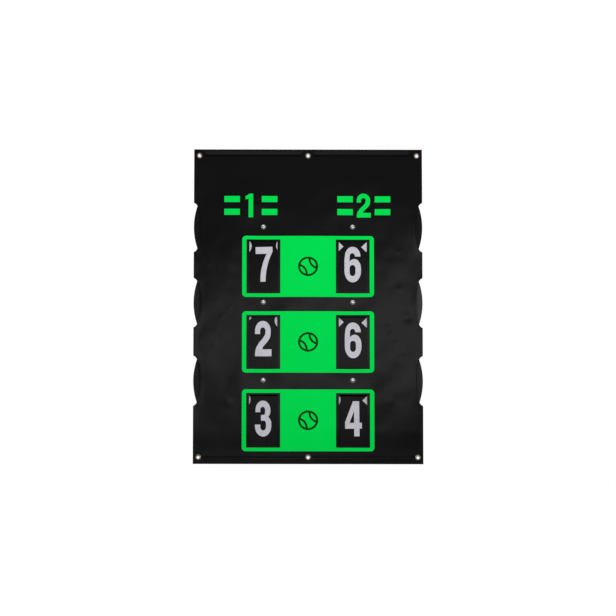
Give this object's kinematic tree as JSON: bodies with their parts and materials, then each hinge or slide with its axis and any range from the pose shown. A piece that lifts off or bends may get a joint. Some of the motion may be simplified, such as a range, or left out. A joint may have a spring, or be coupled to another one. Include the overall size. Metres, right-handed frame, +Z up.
{
  "type": "hanging tennis scoreboard",
  "caption": "Hanging scoreboard banner: two black tarpaulin sheets with eyelets, green window panels and rotating number discs turned by their rims in side scoops.",
  "frame": {"origin": "centre of the rectangle of the four corner eyelets, on the front face of the front sheet", "axes": "+X to the viewer's right, +Y from the front of the board to its back, +Z up as the board hangs"},
  "size_m": [0.594, 0.0136, 0.841],
  "materials": {
    "tarpaulin_black": "black PVC-coated tarpaulin, satin with a fine weave grain",
    "panel_green": "bright green PVC film, satin",
    "disc_black": "black rigid PVC sheet, fine satin",
    "eyelet_brass": "polished brass",
    "pivot_steel": "nickel-plated steel, bright",
    "spacer_nylon": "black nylon tube, moulded"
  },
  "bodies": {
    "board": {"front_sheet": "tarpaulin_black", "back_sheet": "tarpaulin_black", "eyelets": "eyelet_brass", "eyelet_washers": "eyelet_brass", "score_panel_top": "panel_green", "score_panel_middle": "panel_green", "score_panel_bottom": "panel_green", "pivot_post_top_left": "pivot_steel", "pivot_screw_top_left": "pivot_steel", "front_spacer_top_left": "spacer_nylon", "rear_spacer_top_left": "spacer_nylon", "pivot_post_top_right": "pivot_steel", "pivot_screw_top_right": "pivot_steel", "front_spacer_top_right": "spacer_nylon", "rear_spacer_top_right": "spacer_nylon", "pivot_post_middle_left": "pivot_steel", "pivot_screw_middle_left": "pivot_steel", "front_spacer_middle_left": "spacer_nylon", "rear_spacer_middle_left": "spacer_nylon", "pivot_post_middle_right": "pivot_steel", "pivot_screw_middle_right": "pivot_steel", "front_spacer_middle_right": "spacer_nylon", "rear_spacer_middle_right": "spacer_nylon", "pivot_post_bottom_left": "pivot_steel", "pivot_screw_bottom_left": "pivot_steel", "front_spacer_bottom_left": "spacer_nylon", "rear_spacer_bottom_left": "spacer_nylon", "pivot_post_bottom_right": "pivot_steel", "pivot_screw_bottom_right": "pivot_steel", "front_spacer_bottom_right": "spacer_nylon", "rear_spacer_bottom_right": "spacer_nylon"},
    "disc_top_left": {"number_disc_top_left": "disc_black"},
    "disc_top_right": {"number_disc_top_right": "disc_black"},
    "disc_middle_left": {"number_disc_middle_left": "disc_black"},
    "disc_middle_right": {"number_disc_middle_right": "disc_black"},
    "disc_bottom_left": {"number_disc_bottom_left": "disc_black"},
    "disc_bottom_right": {"number_disc_bottom_right": "disc_black"}
  },
  "joints": [
    {"name": "turn_top_left", "type": "hinge", "parent": "board", "child": "disc_top_left", "pos_m": [-0.116, 0.0016, 0.2105], "axis": [0, -1, 0], "continuous": true},
    {"name": "turn_top_right", "type": "hinge", "parent": "board", "child": "disc_top_right", "pos_m": [0.116, 0.0028, 0.2105], "axis": [0, -1, 0], "continuous": true},
    {"name": "turn_middle_left", "type": "hinge", "parent": "board", "child": "disc_middle_left", "pos_m": [-0.116, 0.004, 0.0085], "axis": [0, -1, 0], "continuous": true},
    {"name": "turn_middle_right", "type": "hinge", "parent": "board", "child": "disc_middle_right", "pos_m": [0.116, 0.0052, 0.0085], "axis": [0, -1, 0], "continuous": true},
    {"name": "turn_bottom_left", "type": "hinge", "parent": "board", "child": "disc_bottom_left", "pos_m": [-0.116, 0.0064, -0.1995], "axis": [0, -1, 0], "continuous": true},
    {"name": "turn_bottom_right", "type": "hinge", "parent": "board", "child": "disc_bottom_right", "pos_m": [0.116, 0.0076, -0.1995], "axis": [0, -1, 0], "continuous": true}
  ]
}
